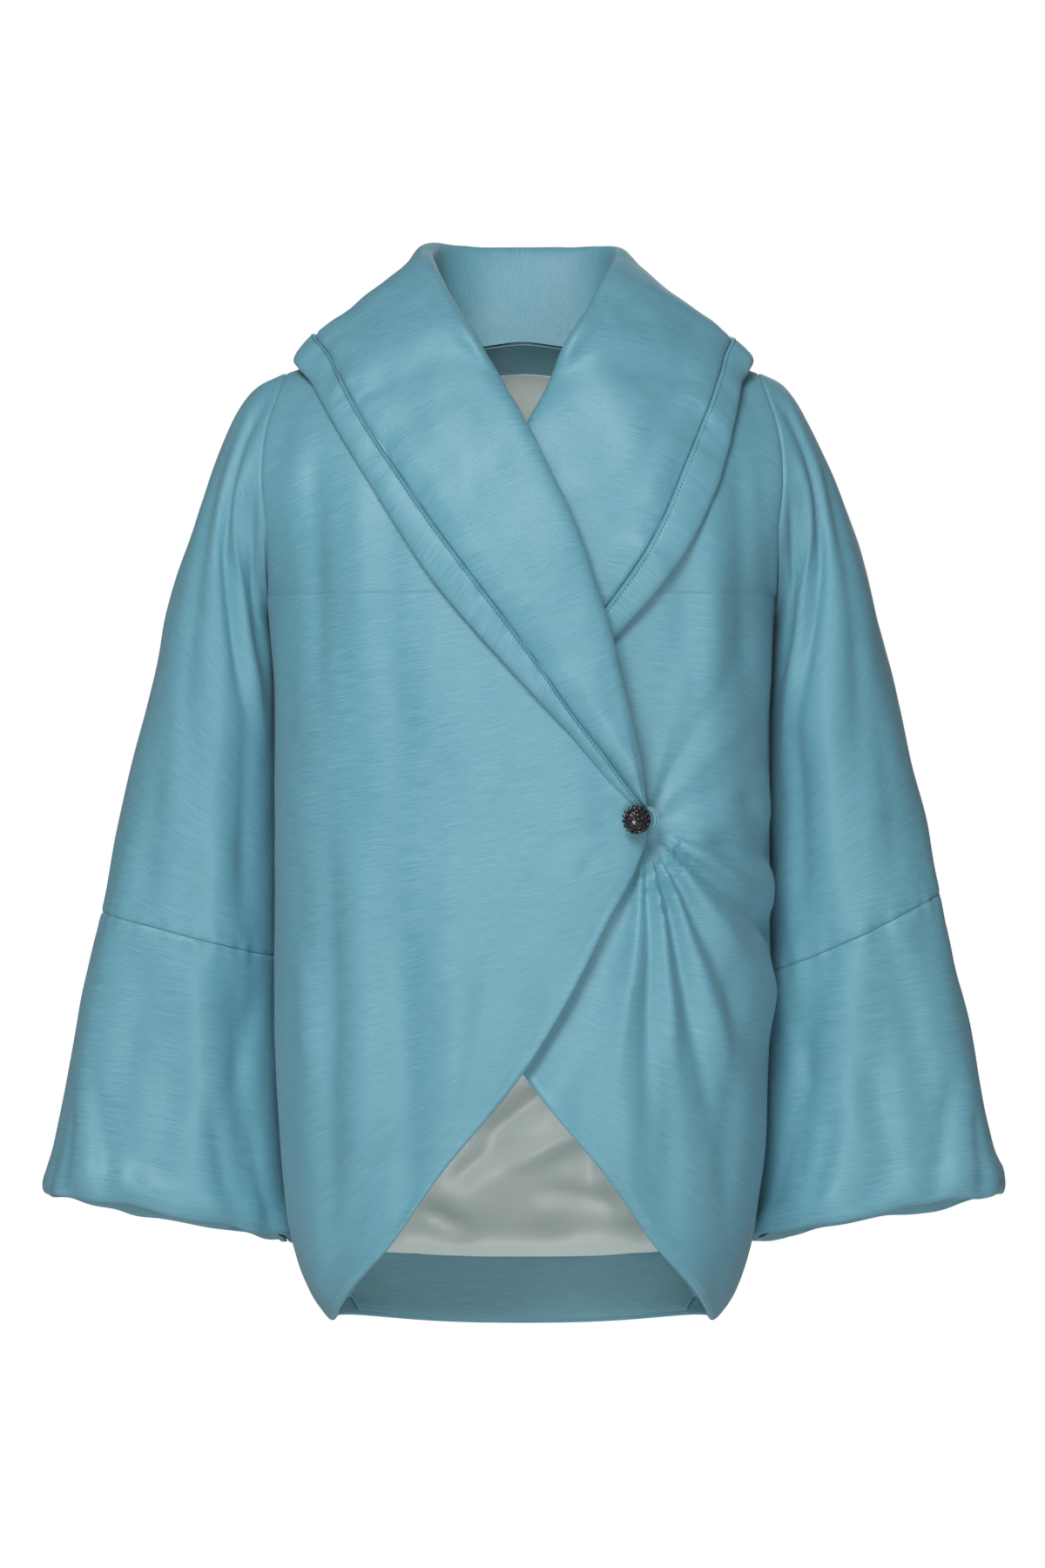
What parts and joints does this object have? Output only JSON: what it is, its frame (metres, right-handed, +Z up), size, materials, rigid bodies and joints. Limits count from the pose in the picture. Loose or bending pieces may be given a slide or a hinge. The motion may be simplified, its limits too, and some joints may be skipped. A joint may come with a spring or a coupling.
{
  "type": "padded wrap jacket",
  "caption": "Hip-length padded satin wrap jacket with a deep shawl collar, wide straight sleeves and cutaway fronts held by one button.",
  "frame": {"origin": "middle of the neck opening, level with the neck ends of the shoulder seams, where the jacket rests on its wearer", "axes": "+Z up from hem to collar, the front faces -Y, +X towards the wearer's left sleeve"},
  "size_m": [0.7738, 0.2835, 0.8845],
  "materials": {
    "shell_satin": "dusty teal-blue satin with fine cross slubs, soft sheen, lightly puckered at the seams",
    "facing_cloth": "the same cloth, matter inside, as facings at neck, hem, cuffs and front edges",
    "lining_satin": "ivory to pale sage lining satin",
    "button_beads": "glossy black faceted beads",
    "loop_cord": "satin cord in the shell colour"
  },
  "bodies": {
    "root": {"back_panel": "shell_satin", "right_front": "shell_satin", "left_front": "shell_satin", "right_upper_sleeve": "shell_satin", "left_upper_sleeve": "shell_satin", "right_lower_sleeve": "shell_satin", "left_lower_sleeve": "shell_satin", "right_collar": "shell_satin", "left_collar": "shell_satin", "right_collar_band": "shell_satin", "left_collar_band": "shell_satin", "right_front_facing": "facing_cloth", "left_front_facing": "facing_cloth", "neck_facing": "facing_cloth", "hem_facing": "facing_cloth", "right_cuff_facing": "facing_cloth", "left_cuff_facing": "facing_cloth", "back_lining": "lining_satin", "right_sleeve_lining": "lining_satin", "left_sleeve_lining": "lining_satin", "button": "button_beads", "button_loop": "loop_cord"}
  },
  "joints": []
}
